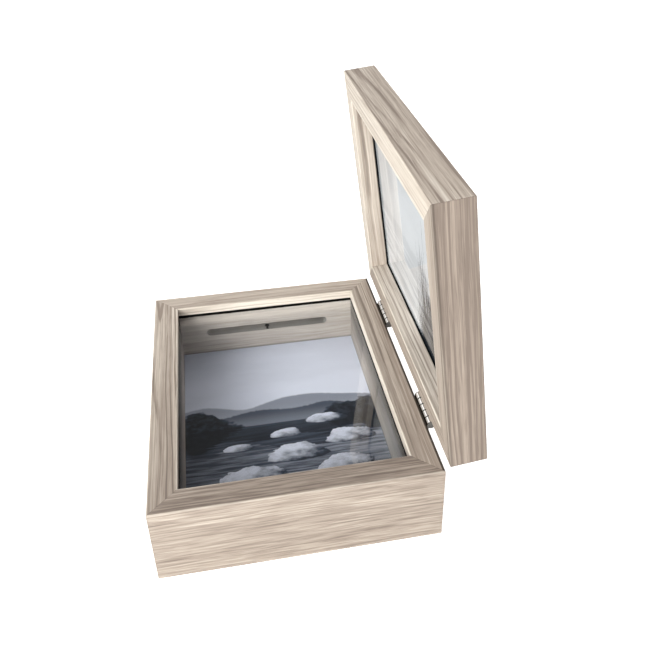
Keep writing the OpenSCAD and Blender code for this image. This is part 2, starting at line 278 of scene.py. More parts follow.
def make_oak_grain():
    """Printed oak: year rings as long thin lines, broad bands, short dashes, fine lines and pores."""
    inputs = {"Place": "vector", "Seed": "value", "Waves": "value", "Rings": "value", "Bands": "value",
              "Dashes": "value", "Lines": "value"}
    outputs = {"Shade": "value", "Pores": "value", "Relief": "value"}
    graph, given, close = node_group("oak_grain", inputs, outputs)
    seeds = [graph.math("MULTIPLY", given["Seed"], step) for step in (17.3, 5.1, 9.7)]
    shift = graph.join(*seeds)

    sway = graph.noise(given["Place"], (0.012, 0.035, 0.035), 1.0, 0.4, shift, colour=True)
    sway = graph.vector("MULTIPLY", graph.vector("SUBTRACT", sway, (0.5, 0.5, 0.5)), (0, 6, 6))
    ripple = graph.noise(given["Place"], (0.07, 0.22, 0.22), 2.0, 0.5, shift, colour=True)
    ripple = graph.vector("MULTIPLY", graph.vector("SUBTRACT", ripple, (0.5, 0.5, 0.5)), (0, 0.7, 0.7))
    drift = graph.scale(graph.vector("ADD", sway, ripple), given["Waves"])
    fibre = graph.vector("ADD", given["Place"], drift)

    band = graph.ease(graph.noise(fibre, (0.0025, 0.26, 0.26), 2.0, 0.5, shift), 0.32, 0.68, -0.5, 0.5)
    dash = graph.ease(graph.noise(fibre, (0.045, 0.80, 0.80), 2.0, 0.55, shift), 0.30, 0.70, -0.5, 0.5)
    line = graph.ease(graph.noise(fibre, (0.009, 1.40, 1.40), 3.0, 0.62, shift), 0.30, 0.70, -0.5, 0.5)
    pores = graph.noise(fibre, (0.060, 4.6, 4.6), 1.0, 0.5, shift)
    cloud = graph.noise(given["Place"], (0.012, 0.05, 0.05), 2.0, 0.5, shift)

    rings_per_mm, ring_drift = 0.21, 8.0
    growth = graph.noise(fibre, (0.0022, 0.06, 0.06), 1.0, 0.45, shift)
    _, inward, up = graph.parts(fibre)
    drifted = graph.math("MULTIPLY", growth, ring_drift)
    year = graph.math("MULTIPLY_ADD", graph.math("ADD", inward, up), rings_per_mm, drifted)
    year = graph.math("FRACT", year)
    ring = graph.math("MAXIMUM", graph.ease(year, 0.30, 0.0), graph.ease(year, 0.88, 1.0))
    fading = graph.noise(fibre, (0.012, 0.14, 0.14), 2.0, 0.5, shift)
    ring = graph.math("MULTIPLY", ring, graph.ease(fading, 0.36, 0.60, 0.20, 1.0))

    shade = graph.math("MULTIPLY_ADD", band, given["Bands"], 0.5)
    shade = graph.math("SUBTRACT", shade, graph.math("MULTIPLY", ring, given["Rings"]))
    shade = graph.math("MULTIPLY_ADD", dash, given["Dashes"], shade)
    shade = graph.math("MULTIPLY_ADD", line, given["Lines"], shade)
    shade = graph.math("ADD", shade, graph.ease(cloud, 0.25, 0.75, -0.06, 0.06), clamp=True)

    where_dark = graph.ease(shade, 0.70, 0.30, 0.30, 1.0)
    pore = graph.math("MULTIPLY", graph.ease(pores, 0.60, 0.72), where_dark)
    relief = graph.math("MULTIPLY_ADD", pore, -0.8, graph.math("MULTIPLY_ADD", line, 0.5, shade))
    return close(Shade=shade, Pores=pore, Relief=relief)


def make_edge_wear_and_highlight():
    """Where the long edges of a rail turn pale, partly worn and partly a painted highlight: most at the
    inner front one, less at the outer ones. Edge is the outer front edge alone, for painted shade."""
    inputs = {"Place": "vector", "Face": "value", "Height": "value"}
    graph, given, close = node_group("edge_wear_and_highlight", inputs, {"Wear": "value", "Edge": "value"})
    _, inward, up = graph.parts(given["Place"])
    above = graph.math("SUBTRACT", given["Height"], up)
    beyond = graph.math("SUBTRACT", given["Face"], inward)
    uneven = graph.noise(given["Place"], (0.05, 0.3, 0.3), 3.0, 0.6)
    reach = graph.ease(uneven, 0.30, 0.70, 0.6, 1.4)

    def paled(first, second, most):
        away = graph.vector("LENGTH", graph.join(first, second, 0.0))
        return graph.ease(graph.math("DIVIDE", away, reach), 1.0, 0.2, 0.0, most)

    outer = graph.math("MAXIMUM", paled(inward, above, 0.45), paled(inward, up, 0.30))
    edge = graph.ease(graph.vector("LENGTH", graph.join(inward, above, 0.0)), 1.8, 1.1)
    return close(Wear=graph.math("MAXIMUM", outer, paled(beyond, above, 1.0)), Edge=edge)


def make_mitre_seam():
    """The hairline where a rail meets its neighbour at 45 degrees, wider in places."""
    inputs = {"Place": "vector", "Length": "value", "Gap": "value"}
    graph, given, close = node_group("mitre_seam", inputs, {"Seam": "value"})
    along, inward, _ = graph.parts(given["Place"])
    near = graph.math("SUBTRACT", along, inward)
    far = graph.math("SUBTRACT", graph.math("SUBTRACT", given["Length"], along), inward)
    nearest = graph.math("MINIMUM", near, far)
    uneven = graph.noise(given["Place"], (0.3, 0.3, 0.3), 2.0, 0.6)
    gap = graph.math("MULTIPLY", given["Gap"], graph.ease(uneven, 0.35, 0.70, 0.45, 1.4))
    return close(Seam=graph.ease(graph.math("DIVIDE", nearest, gap), 1.0, 0.35))


def make_foil_cover():
    """Where foil covers a rail: outer, front face and reveal. The rest is bare board, or black as painted
    shade.
    """
    inputs = {"Place": "vector", "Face": "value", "Wall": "value", "Height": "value", "Lip": "value"}
    outputs = {"Cover": "value", "Front": "value", "Reveal": "value", "Rabbet": "value"}
    graph, given, close = node_group("foil_cover", inputs, outputs)
    _, inward, up = graph.parts(given["Place"])
    rounding = 0.65
    skin = 0.04
    above = graph.math("SUBTRACT", given["Height"], up)
    outer = graph.math("LESS_THAN", inward, rounding)
    front = graph.math("LESS_THAN", above, rounding)
    reveal = graph.math("GREATER_THAN", inward, graph.math("SUBTRACT", given["Face"], skin))
    reveal = graph.math("MULTIPLY", reveal, graph.math("LESS_THAN", above, given["Lip"]))
    cover = graph.math("MAXIMUM", graph.math("MAXIMUM", outer, front), reveal)
    rabbet = graph.math("GREATER_THAN", inward, graph.math("SUBTRACT", given["Wall"], skin))
    return close(Cover=cover, Front=graph.ease(above, rounding, 0.1), Reveal=reveal, Rabbet=rabbet)


def make_slot_masks():
    """Which faces of the slotted wall lie as high as its slot or notch, and which line the notch."""
    skin = 0.05
    inputs = {"Place": "vector", "Middle": "value", "Floor": "value", "Reach": "value"}
    graph, given, close = node_group("slot_masks", inputs, {"High": "value", "Notch": "value"})
    along, _, up = graph.parts(given["Place"])
    beside = graph.math("ABSOLUTE", graph.math("SUBTRACT", along, given["Middle"]))
    high = graph.math("GREATER_THAN", up, graph.math("SUBTRACT", given["Floor"], given["Reach"]))
    low = graph.math("LESS_THAN", up, graph.math("SUBTRACT", given["Floor"], skin))
    near = graph.math("LESS_THAN", beside, given["Reach"])
    return close(High=high, Notch=graph.math("MULTIPLY", graph.math("MULTIPLY", high, low), near))


def make_fine_dust():
    """Faint blotches that break up a clean surface."""
    inputs = {"Place": "vector", "Scale": "value"}
    graph, given, close = node_group("fine_dust", inputs, {"Blotch": "value"})
    place = graph.scale(given["Place"], given["Scale"])
    return close(Blotch=graph.noise(place, (0.05, 0.05, 0.05), 3.0, 0.6))


def make_metal_finish():
    """Plated steel: soft brushing along the piece, small scratches and dull patches."""
    inputs = {"Place": "vector", "Brushing": "value"}
    outputs = {"Tone": "value", "Dullness": "value", "Relief": "value"}
    graph, given, close = node_group("metal_finish", inputs, outputs)
    brushed = graph.noise(given["Place"], (0.35, 9, 9), 2.0, 0.6)
    patch = graph.noise(given["Place"], (0.3, 0.3, 0.3), 3.0, 0.6)
    pitted = graph.noise(given["Place"], (3.5, 3.5, 3.5), 2.0, 0.6)
    tone = graph.math("MULTIPLY_ADD", patch, 0.7, graph.math("MULTIPLY", pitted, 0.3))
    dull = graph.nudge(brushed, given["Brushing"], tone)
    relief = graph.math("MULTIPLY_ADD", brushed, given["Brushing"], pitted)
    return close(Tone=tone, Dullness=dull, Relief=relief)


def make_paper_grain():
    """Fine grain and uneven gloss of photographic paper."""
    outputs = {"Grain": "value", "Gloss": "value"}
    graph, given, close = node_group("paper_grain", {"Place": "vector"}, outputs)
    grain = graph.ease(graph.noise(given["Place"], (5, 5, 0), 1.0, 0.5), 0.2, 0.8, 0.965, 1.035)
    gloss = graph.ease(graph.noise(given["Place"], (0.08, 0.08, 0), 2.0, 0.5), 0.3, 0.7, 0.30, 0.40)
    return close(Grain=grain, Gloss=gloss)


def make_lake_scenery():
    """Sky, two ridges and a soft dark wood on both sides, above a shore at half height."""
    inputs = {"X": "value", "Level": "value", "Width": "value"}
    graph, given, close = node_group("lake_scenery", inputs, {"Tone": "colour"})
    x, level = given["X"], given["Level"]
    nominal_height = 180.0
    across = graph.math("DIVIDE", x, given["Width"])
    spot = graph.join(x, graph.math("MULTIPLY", level, nominal_height), 0.0)
    clouds = graph.noise(spot, (0.012, 0.035, 0), 5.0, 0.55)
    tone = graph.ease(across, -0.25, 0.75, 0.50, 0.92)
    tone = graph.math("MULTIPLY", tone, graph.ease(level, 1.1, 0.6, 0.76, 1.0))
    tone = graph.nudge(clouds, 0.26, tone)
    # Each ridge: the level of its crest, its swing, raggedness, stretch and shift, and its tone
    ridges = ((0.615, 0.16, 0.012, 0.018, 3.0, 0.36), (0.575, 0.12, 0.030, 0.024, 11.0, 0.14))
    for crest, swing, ragged, stretch, shift, dark in ridges:
        outline = graph.noise(graph.join(x, shift, 0.0), (stretch, 1, 1), 1.0, 0.5)
        edge = graph.noise(graph.join(x, shift, 0.0), (0.45, 1, 1), 4.0, 0.7)
        top = graph.nudge(outline, swing, crest)
        top = graph.nudge(edge, ragged, top)
        mist = graph.ease(level, 0.50, crest, dark + 0.14, dark)
        tone = graph.mix(graph.ease(graph.math("SUBTRACT", top, level), -0.005, 0.005), tone, mist)
    crowns = graph.noise(spot, (0.055, 0.055, 0), 3.0, 0.55)
    leaves = graph.noise(spot, (0.22, 0.22, 0), 2.0, 0.6)
    aside = graph.math("ABSOLUTE", graph.math("SUBTRACT", across, 0.50))
    reach = graph.ease(aside, 0.10, 0.42, 0.47, 0.60)
    top = graph.nudge(crowns, 0.16, reach)
    wood = graph.ease(graph.math("SUBTRACT", top, level), -0.008, 0.008)
    return close(Tone=graph.mix(wood, tone, graph.ease(leaves, 0.35, 0.75, 0.0, 0.07)))


def make_boulder():
    """A pale boulder in shallow water, in millimetres on the print. Its lower rim is in its shadow."""
    inputs = {"Place": "vector", "Centre": "vector", "Wide": "value", "Tall": "value", "Seed": "value"}
    graph, given, close = node_group("boulder", inputs, {"Mask": "value", "Shine": "value"})
    x, y, _ = graph.parts(graph.vector("SUBTRACT", given["Place"], given["Centre"]))
    across = graph.math("DIVIDE", x, given["Wide"])
    height = graph.math("DIVIDE", y, given["Tall"])
    shift = graph.join(given["Seed"], given["Seed"], 0.0)
    rough = graph.noise(given["Place"], (0.07, 0.10, 0), 4.0, 0.6, shift)
    foot = graph.math("MULTIPLY", graph.math("LESS_THAN", height, 0.0), 1.6)
    stretched = graph.math("MULTIPLY", height, graph.math("ADD", foot, 1.0))
    away = graph.vector("LENGTH", graph.join(across, stretched, 0.0))
    away = graph.nudge(rough, 0.9, away)
    mask = graph.ease(away, 1.0, 0.965)

    facets = graph.noise(given["Place"], (0.10, 0.16, 0), 5.0, 0.62, shift)
    lit = graph.math("MULTIPLY_ADD", height, 0.55, graph.math("MULTIPLY", across, -0.30))
    lit = graph.math("ADD", graph.nudge(facets, 1.5, lit), 0.46)
    rim = graph.ease(away, 1.0, 0.70, -0.16, 0.0)
    shine = graph.ease(graph.math("ADD", lit, rim), 0.0, 1.0, 0.05, 0.88)
    return close(Mask=mask, Shine=shine)


model_place = make_model_place()
piece_place = make_piece_place()
oak_grain = make_oak_grain()
edge_wear_and_highlight = make_edge_wear_and_highlight()
mitre_seam = make_mitre_seam()
foil_cover = make_foil_cover()
slot_masks = make_slot_masks()
fine_dust = make_fine_dust()
paper_grain = make_paper_grain()
lake_scenery = make_lake_scenery()
boulder = make_boulder()
metal_finish = make_metal_finish()


# Materials

def new_material(name):
    """An empty material with its graph and a function that closes it with a Principled shader."""
    material = bpy.data.materials.new(name)
    material.use_nodes = True
    material.node_tree.nodes.clear()
    graph = Graph(material.node_tree)

    def close(**inputs):
        shader = graph.node("BsdfPrincipled", **inputs)
        graph.node("OutputMaterial", Surface=shader.outputs[0])
        return material

    return graph, close


class Piece:
    """Where a straight piece lies: origin at its outer back corner, and its three directions."""

    def __init__(self, origin, along, inward, up, length, height, lip):
        self.origin, self.along, self.inward, self.up = origin, along, inward, up
        self.length, self.height, self.lip = length, height, lip

    def swung(self):
        """The same piece of the closed lid, carried to where the open lid holds it."""
        turned = [lid_turn @ way for way in (self.along, self.inward, self.up)]
        return Piece(opened_lid_point(self.origin), *turned, self.length, self.height, self.lip)

    def place(self, graph):
        ways = {"Origin": self.origin, "Along": self.along, "Inward": self.inward, "Up": self.up}
        return graph.use(piece_place, **ways)["Place"]


def frame_sides(back_z, up, height, lip):
    """The four sides of a frame whose back lies at back_z: front, far, free and hinge side."""
    near_free = Vector((base_corner.x, base_corner.y, back_z))
    far_free = near_free + AXIS_Y * box_l
    near_hinge = near_free + AXIS_X * box_w
    return {"front": Piece(near_free, AXIS_X, AXIS_Y, up, box_w, height, lip),
            "far": Piece(far_free, AXIS_X, -AXIS_Y, up, box_w, height, lip),
            "free": Piece(near_free, AXIS_Y, AXIS_X, up, box_l, height, lip),
            "hinge": Piece(near_hinge, AXIS_Y, -AXIS_X, up, box_l, height, lip)}


base_sides = frame_sides(0, AXIS_Z, base_h, base_lip)
closed_lid_sides = frame_sides(lid_back_z, -AXIS_Z, lid_h, lid_lip)
lid_sides = {name: side.swung() for name, side in closed_lid_sides.items()}

oak_dark = (0.187, 0.147, 0.122)
oak_brown = (0.290, 0.236, 0.197)
oak_beige = (0.392, 0.330, 0.279)
oak_pale = (0.530, 0.462, 0.396)
oak_white = (0.680, 0.618, 0.548)
pore_brown = (0.135, 0.103, 0.084)
# Cream of worn foil, also a painted highlight along the edges
wear_and_highlight_cream = (0.700, 0.635, 0.550)
# Dark of the mitre seams, also a painted shade line on outer edges
seam_and_shade_brown = (0.045, 0.032, 0.024)
board_dark = (0.110, 0.078, 0.054)
board_brown = (0.210, 0.158, 0.112)
knuckle_shade_black = (0.030, 0.027, 0.024)
slot_dark = (0.225, 0.208, 0.192)
slot_grey = (0.280, 0.262, 0.246)
# Black put where only shade falls: the rabbet, the slot's notch and the linings' top rim
painted_shadow_black = (0.008, 0.007, 0.006)


def oak_rail(name, side, seed, outer=(0.0, 1.0), front=(0.0, 1.0), reveal=(0.1, 0.8), rings=0.3, bands=0.2,
             dashes=0.2, lines=0.2, waves=0.7, painted_light_fade=0.0, wear_and_highlight=0.6, edge=0.0, shadow_line_trim=0.3, slotted=False):
    """Oak-grain foil round one rail of fibreboard. outer, front and reveal each give a raise and a
    contrast of shade; each raise is partly the foil's own tone and partly painted light and shade on that
    face. painted_light_fade paints light on the rail's end and shade on its start. edge paints a shade line
    along the outer front edge. The foil stops shadow_line_trim millimetres short of the foot of the reveal,
    where the bare black is a painted shadow line."""
    pore_share, seam_share, seam_gap, seam_depth = 0.50, 0.65, 0.16, 4.0
    graph, close = new_material(name)
    place = side.place(graph)
    grain = graph.use(oak_grain, Place=place, Seed=seed, Waves=waves, Rings=rings, Bands=bands,
                      Dashes=dashes, Lines=lines)
    arris = graph.use(edge_wear_and_highlight, Place=place, Face=face_w / MM, Height=side.height / MM)
    joint = graph.use(mitre_seam, Place=place, Length=side.length / MM, Gap=seam_gap)["Seam"]
    foil = graph.use(foil_cover, Place=place, Face=face_w / MM, Wall=wall_t / MM, Height=side.height / MM,
                     Lip=side.lip / MM - shadow_line_trim)
    dust = graph.use(fine_dust, Place=place, Scale=1.0)

    tone_and_light_lift, contrast = outer
    # Each face's raise of tone is partly the foil's own and partly painted light and shade
    for mask, (face_tone_and_light_lift, face_contrast) in ((foil["Front"], front), (foil["Reveal"], reveal)):
        tone_and_light_lift = graph.math("MULTIPLY_ADD", mask, face_tone_and_light_lift - outer[0], tone_and_light_lift)
        contrast = graph.math("MULTIPLY_ADD", mask, face_contrast - outer[1], contrast)
    along = graph.parts(place)[0]
    # Painted light: paler towards the rail's end and darker at its start
    tone_and_light_lift = graph.math("ADD", tone_and_light_lift, graph.ease(along, 0.0, side.length / MM, -painted_light_fade, painted_light_fade))
    shade = graph.nudge(grain["Shade"], contrast, 0.5)
    shade = graph.math("ADD", shade, tone_and_light_lift, clamp=True)
    colour = graph.ramp(shade, (0.10, oak_dark), (0.36, oak_brown), (0.62, oak_beige), (0.84, oak_pale),
                        (1.0, oak_white))
    pore = graph.math("MULTIPLY", graph.math("MULTIPLY", grain["Pores"], pore_share), contrast)
    colour = graph.mix(pore, colour, (*pore_brown, 1))
    # Pale edges: worn foil and a painted highlight
    colour = graph.mix(graph.math("MULTIPLY", arris["Wear"], wear_and_highlight), colour, (*wear_and_highlight_cream, 1))
    # Painted shade: a dark line along the outer front edge, as strong as edge asks
    colour = graph.mix(graph.math("MULTIPLY", arris["Edge"], edge), colour, (*seam_and_shade_brown, 1))
    bare = graph.ramp(dust["Blotch"], (0.3, board_dark), (0.7, board_brown))
    # Painted shade: the rabbet, the strip bared at the reveal's foot and the notch are black
    black = foil["Rabbet"]
    if slotted:
        slot = graph.use(slot_masks, Place=place, **slot_sizes)
        cut_board = graph.ramp(dust["Blotch"], (0.3, slot_dark), (0.7, slot_grey))
        bare = graph.mix(slot["High"], bare, cut_board)
        black = graph.math("MAXIMUM", black, slot["Notch"])
    bare = graph.mix(black, bare, (*painted_shadow_black, 1))
    colour = graph.mix(foil["Cover"], bare, colour)
    colour = graph.mix(graph.math("MULTIPLY", joint, seam_share), colour, (*seam_and_shade_brown, 1))

    rough = graph.ease(grain["Relief"], 0.2, 1.0, 0.56, 0.46)
    rough = graph.nudge(dust["Blotch"], 0.12, rough)
    rough = graph.math("MULTIPLY_ADD", joint, 0.3, rough, clamp=True)
    height = graph.math("MULTIPLY_ADD", joint, -seam_depth, grain["Relief"])
    normal = graph.bump(height, 0.35, 0.00006)
    return close(Base_Color=colour, Roughness=rough, Specular_IOR_Level=0.42, Normal=normal)


def oak_lining(name, side, seed, shaded, tone_and_light_lift=0.0, contrast=1.0, slotted=False):
    """The same print, greyer, on the inner face of the base's lining, with painted shade under the lip and
    a painted shadow at its foot."""
    graph, close = new_material(name)
    place = side.place(graph)
    grain = graph.use(oak_grain, Place=place, Seed=seed, Waves=0.8, Rings=0.22, Bands=0.16, Dashes=0.22,
                      Lines=0.20)
    shade = graph.nudge(grain["Shade"], contrast, 0.5 + tone_and_light_lift, clamp=True)
    colour = graph.ramp(shade, (0.10, (0.232, 0.200, 0.176)), (0.40, (0.345, 0.304, 0.274)),
                        (0.68, (0.453, 0.406, 0.371)), (0.95, (0.577, 0.524, 0.482)))
    colour = graph.mix(graph.math("MULTIPLY", grain["Pores"], 0.30), colour, (*pore_brown, 1))
    _, inward, up = graph.parts(place)
    foot, top = lining_low.z / MM, lining_high.z / MM
    shade_from = foot + 0.15 * (top - foot)
    foot_shadow_h, rim_h, skin = 2.2, 0.5, 0.03
    # Painted shade: darker towards the top under the lip, by shaded, and a painted shadow at the foot
    dull = graph.ease(up, shade_from, top, 1.0, 1.0 - shaded)
    dull = graph.math("MULTIPLY", dull, graph.ease(up, foot, foot + foot_shadow_h, 0.45, 1.0))
    colour = graph.mix(1.0, colour, dull, "MULTIPLY")
    print_face = graph.math("GREATER_THAN", inward, face_w / MM - skin)
    # Painted shade: the lining's top rim and its notch are black, for the shadow line at the glass
    rim = graph.math("GREATER_THAN", up, top - rim_h)
    if slotted:
        rim = graph.math("MAXIMUM", rim, graph.use(slot_masks, Place=place, **slot_sizes)["Notch"])
    edge = graph.mix(rim, (*slot_grey, 1), (*painted_shadow_black, 1))
    colour = graph.mix(print_face, edge, colour)
    rough = graph.ease(grain["Relief"], 0.2, 1.0, 0.62, 0.52)
    return close(Base_Color=colour, Roughness=rough, Normal=graph.bump(grain["Relief"], 0.3, 0.00005))


def clear_glass(name):
    """Float glass. Shadow rays pass straight through it, so what lies behind is lit."""
    material = bpy.data.materials.new(name)
    material.use_nodes = True
    material.node_tree.nodes.clear()
    graph = Graph(material.node_tree)
    dust = graph.use(fine_dust, Place=graph.use(model_place)["Place"], Scale=0.8)
    rough = graph.ease(dust["Blotch"], 0.45, 0.80, 0.0, 0.02)
    glass = graph.node("BsdfPrincipled", Base_Color=(0.98, 0.985, 0.98, 1), Roughness=rough, IOR=1.5,
                       Transmission_Weight=1.0)
    open_way = graph.node("BsdfTransparent", Color=(0.97, 0.973, 0.968, 1))
    shadow = graph.node("LightPath").outputs["Is Shadow Ray"]
    both = graph.node("MixShader")
    graph.feed(both.inputs[0], shadow)
    graph.feed(both.inputs[1], glass.outputs[0])
    graph.feed(both.inputs[2], open_way.outputs[0])
    graph.node("OutputMaterial", Surface=both.outputs[0])
    return material


def hardboard(name):
    """Brown hardboard: matted fibres, darker flecks and a faint sheen."""
    graph, close = new_material(name)
    spot = graph.use(model_place)["Place"]
    matted = graph.noise(spot, (0.9, 0.9, 0.9), 4.0, 0.65)
    fibres = graph.noise(spot, (0.4, 2.6, 1.2), 3.0, 0.7)
    flecks = graph.noise(spot, (1.6, 0.5, 1.2), 2.0, 0.6)
    cloud = graph.noise(spot, (0.03, 0.03, 0.03), 2.0, 0.5)
    shade = graph.nudge(fibres, 0.6, matted)
    shade = graph.nudge(cloud, 0.5, shade)
    colour = graph.ramp(shade, (0.25, (0.105, 0.060, 0.034)), (0.5, (0.190, 0.115, 0.068)),
                        (0.8, (0.285, 0.185, 0.115)))
    fleck = graph.math("MULTIPLY", graph.ease(flecks, 0.62, 0.74), 0.55)
    colour = graph.mix(fleck, colour, (0.060, 0.034, 0.020, 1))
    rough = graph.ease(matted, 0.3, 0.7, 0.66, 0.50)
    return close(Base_Color=colour, Roughness=rough, Normal=graph.bump(shade, 0.4, 0.0001))


def knuckle_painted_shade(graph):
    """Painted shade on knuckle flanks and joints, darker ends; bright backs are a painted highlight."""
    knuckle_reach, end_darkening = 1.1, 0.6
    texture = graph.node("TexCoord").outputs
    spot = graph.vector("SUBTRACT", texture["Object"], hinge_point)
    x, y, z = graph.parts(spot)
    radial = graph.join(graph.math("DIVIDE", x, knuckle_r), 0.0, graph.math("DIVIDE", z, knuckle_r))
    round_part = graph.math("LESS_THAN", graph.vector("LENGTH", radial), knuckle_reach)
    # The side of the knuckles kept bright as a painted highlight; their flanks get painted shade
    lit_way = Vector((-0.50, 0, 0.866))
    facing = graph.vector("DOT_PRODUCT", radial, lit_way)
    end_face = graph.ease(graph.math("ABSOLUTE", graph.parts(texture["Normal"])[1]), 0.5, 0.8)
    leaf_side = graph.math("SUBTRACT", graph.math("ABSOLUTE", y), -leaf_high.y)
    step = graph.math("FRACT", graph.math("DIVIDE", leaf_side, knuckle_pitch))
    off_joint = graph.math("MINIMUM", step, graph.math("SUBTRACT", 1.0, step))
    joint = graph.ease(off_joint, 0.11, 0.04, 0.0, 0.9)
    knuckle_shade = graph.math("MAXIMUM", graph.ease(facing, 0.92, 0.76, 0.0, 0.95), joint)
    knuckle_shade = graph.math("MULTIPLY", knuckle_shade, graph.math("SUBTRACT", 1.0, end_face))
    knuckle_shade = graph.math("MULTIPLY_ADD", end_face, end_darkening, knuckle_shade)
    return graph.math("MULTIPLY", round_part, knuckle_shade)


def plated_steel(name, dark, bright, low_rough, high_rough, brushing, along=(0, 1, 0), knuckles=False):
    """Plated steel, brushed along X or Y."""
    graph, close = new_material(name)
    across = (along[1], along[0], 0)
    ways = {"Origin": (0, 0, 0), "Along": along, "Inward": across, "Up": (0, 0, 1)}
    place = graph.use(piece_place, **ways)["Place"]
    finish = graph.use(metal_finish, Place=place, Brushing=brushing)
    colour = graph.ramp(finish["Tone"], (0.3, dark), (0.7, bright))
    if knuckles:
        # Painted shade on the knuckles' flanks and joints
        colour = graph.mix(knuckle_painted_shade(graph), colour, (*knuckle_shade_black, 1))
    rough = graph.ease(finish["Dullness"], 0.3, 0.75, low_rough, high_rough)
    normal = graph.bump(finish["Relief"], 0.15, 0.00002)
    return close(Base_Color=colour, Metallic=1.0, Roughness=rough, Normal=normal)


# Boulders of the lake print: centre from its lower left corner, half width and half height
lake_boulders = ((93, 88, 13, 7), (66, 78, 10, 6), (106, 68, 16, 10), (70, 58, 19, 12), (36, 70, 9, 5),
                 (98, 42, 18, 13), (44, 42, 20, 12), (72, 26, 22, 11), (112, 22, 15, 9))
lake_tones = ((0.0, (0.005, 0.008, 0.015)), (0.12, (0.045, 0.058, 0.088)), (0.42, (0.335, 0.360, 0.440)),
              (0.90, (0.790, 0.825, 0.965)))
shore_tones = ((0.0, (0.008, 0.010, 0.014)), (0.12, (0.080, 0.088, 0.110)), (0.45, (0.400, 0.415, 0.460)),
               (0.90, (0.870, 0.885, 0.920)))


def print_place(graph, origin, along, up, height):
    """Millimetres on a print from its lower left corner, and the height as a share of the print's."""
    ways = {"Origin": origin, "Along": along, "Inward": up, "Up": along.cross(up)}
    place = graph.use(piece_place, **ways)["Place"]
    x, y, _ = graph.parts(place)
    flat = graph.join(x, y, 0.0)
    return flat, x, graph.math("DIVIDE", y, height / MM)


def print_paper(graph, close, tone, place, tones):
    """Satin photographic paper in cool tones, with a fine grain."""
    paper = graph.use(paper_grain, Place=place)
    colour = graph.ramp(graph.mix(1.0, tone, paper["Grain"], "MULTIPLY"), *tones)
    return close(Base_Color=colour, Roughness=paper["Gloss"], Specular_IOR_Level=0.2)


def painted_shadow_border(graph, place, width, height):
    """Zero on the black border under the rails' lip and one inside it; the black is a painted shadow."""
    hidden = 0.1
    border = lip_cover / MM - hidden
    x, y, _ = graph.parts(place)
    across = graph.math("MINIMUM", x, graph.math("SUBTRACT", width / MM, x))
    upright = graph.math("MINIMUM", y, graph.math("SUBTRACT", height / MM, y))
    return graph.math("GREATER_THAN", graph.math("MINIMUM", across, upright), border)


def pebble_beach(graph, place, x, level, width):
    """Pebbles that shrink towards the shore, each of its own grey."""
    horizon, columns, rows = 0.56, 9.0, 12.0
    depth = graph.math("DIVIDE", 1.0, graph.math("SUBTRACT", horizon, graph.math("MINIMUM", level, 0.5)))
    centred = graph.math("SUBTRACT", graph.math("DIVIDE", x, width), 0.5)
    spot = graph.join(graph.math("MULTIPLY", graph.math("MULTIPLY", centred, depth), columns),
                      graph.math("MULTIPLY", depth, rows), 0.0)
    flat, layout = {"voronoi_dimensions": "2D"}, {"Vector": spot, "Scale": 1.0, "Randomness": 0.85}
    cells = graph.node("TexVoronoi", flat, **layout)
    edges = graph.node("TexVoronoi", {**flat, "feature": "DISTANCE_TO_EDGE"}, **layout)
    own = graph.parts(cells.outputs["Color"])[0]
    own = graph.ease(own, 0.0, 1.0, 0.06, 0.38)
    dome = graph.ease(cells.outputs["Distance"], 0.65, 0.05, 0.35, 1.15)
    chink = graph.ease(edges.outputs["Distance"], 0.01, 0.10, 0.12, 1.0)
    mottled = graph.noise(place, (0.35, 0.5, 0), 4.0, 0.65)
    stone = graph.math("MULTIPLY", graph.math("MULTIPLY", own, dome), chink)
    return graph.math("MULTIPLY", stone, graph.ease(mottled, 0.3, 0.7, 0.75, 1.25))


def lake_print(name, origin, along, up, width, height):
    """A black and white lake: pale sky, a dark wood, its reflection, boulders and a pebble beach."""
    graph, close = new_material(name)
    place, x, level = print_place(graph, origin, along, up, height)
    tone = graph.use(lake_scenery, X=x, Level=level, Width=width / MM)["Tone"]

    ripples = graph.noise(place, (0.030, 0.45, 0), 4.0, 0.6)
    sway = graph.math("SUBTRACT", ripples, 0.5)
    mirrored = graph.math("MULTIPLY_ADD", sway, 0.06, graph.math("SUBTRACT", 1.0, level))
    swayed = graph.math("MULTIPLY_ADD", sway, 6.0, x)
    reflection = graph.use(lake_scenery, X=swayed, Level=mirrored, Width=width / MM)["Tone"]
    dimmed = graph.mix(1.0, reflection, graph.ease(ripples, 0.35, 0.65, 0.14, 0.42), "MULTIPLY")
    tone = graph.mix(graph.ease(level, 0.502, 0.498), tone, dimmed)

    shore = graph.noise(place, (0.020, 0.03, 0), 3.0, 0.5)
    shore = graph.nudge(shore, 0.14, level)
    wet = graph.ease(shore, 0.17, 0.11, 0.45, 1.0)
    beach = graph.math("MULTIPLY", pebble_beach(graph, place, x, level, width / MM), wet)
    tone = graph.mix(graph.ease(shore, 0.185, 0.175), tone, beach)
    seed_step = 7.3
    for index, (centre_x, centre_y, half_wide, half_tall) in enumerate(lake_boulders):
        stone = graph.use(boulder, Place=place, Centre=(centre_x, centre_y, 0), Wide=half_wide,
                          Tall=half_tall, Seed=index * seed_step)
        tone = graph.mix(stone["Mask"], tone, stone["Shine"])
    return print_paper(graph, close, tone, place, lake_tones)


# Where the reed bed ends, in millimetres from the near edge of the lid's print
reed_bed_end = 74


